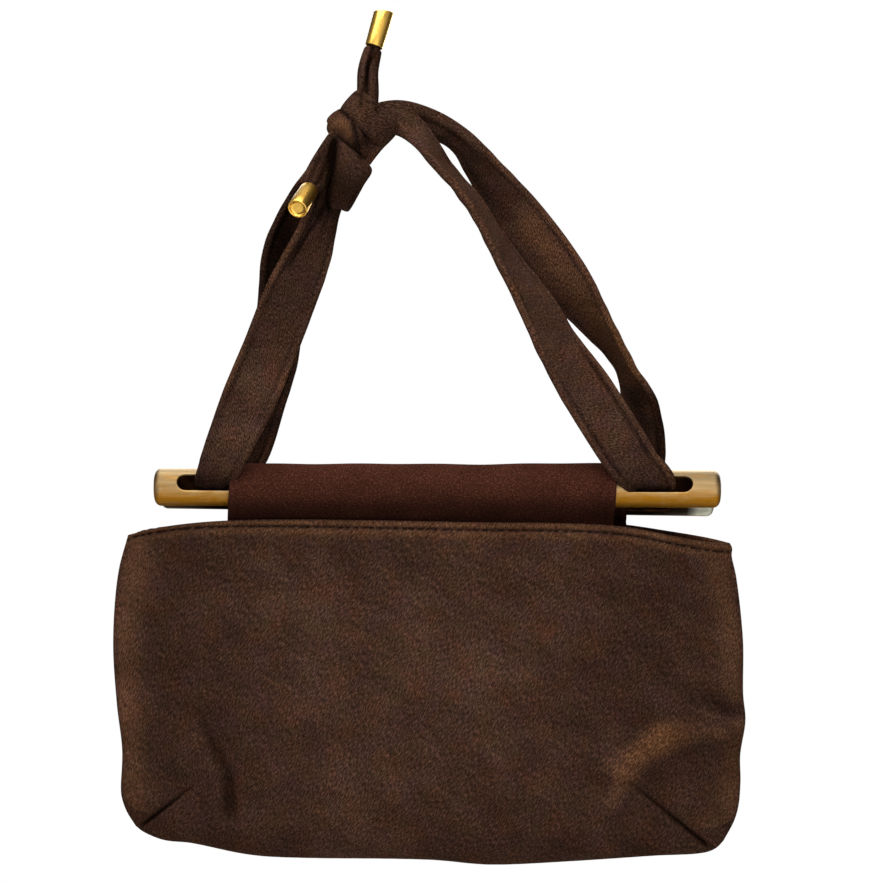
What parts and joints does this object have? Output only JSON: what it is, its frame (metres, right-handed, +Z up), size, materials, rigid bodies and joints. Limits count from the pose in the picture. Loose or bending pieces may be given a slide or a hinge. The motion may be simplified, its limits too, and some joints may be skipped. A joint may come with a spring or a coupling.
{
  "type": "purse",
  "caption": "Soft wool purse with darted corners, hung by cloth sleeves from two slotted brass tubes and carried on a knotted flat strap with brass tips.",
  "frame": {"origin": "the underside of the strap, at the place where it hangs", "axes": "+Z up as it hangs, +X to the right seen from the front, +Y from the front panel to the back panel"},
  "size_m": [0.2799, 0.0712, 0.3776],
  "materials": {
    "wool": "matt twill",
    "sleeve_cloth": "matt",
    "brass": "satin, worn",
    "tip_brass": "polished"
  },
  "bodies": {
    "root": {"front_panel": "wool", "back_panel": "wool", "strap": "wool", "front_sleeve": "sleeve_cloth", "back_sleeve": "sleeve_cloth", "front_tube": "brass", "back_tube": "brass", "upper_tip": "tip_brass", "lower_tip": "tip_brass"}
  },
  "joints": []
}
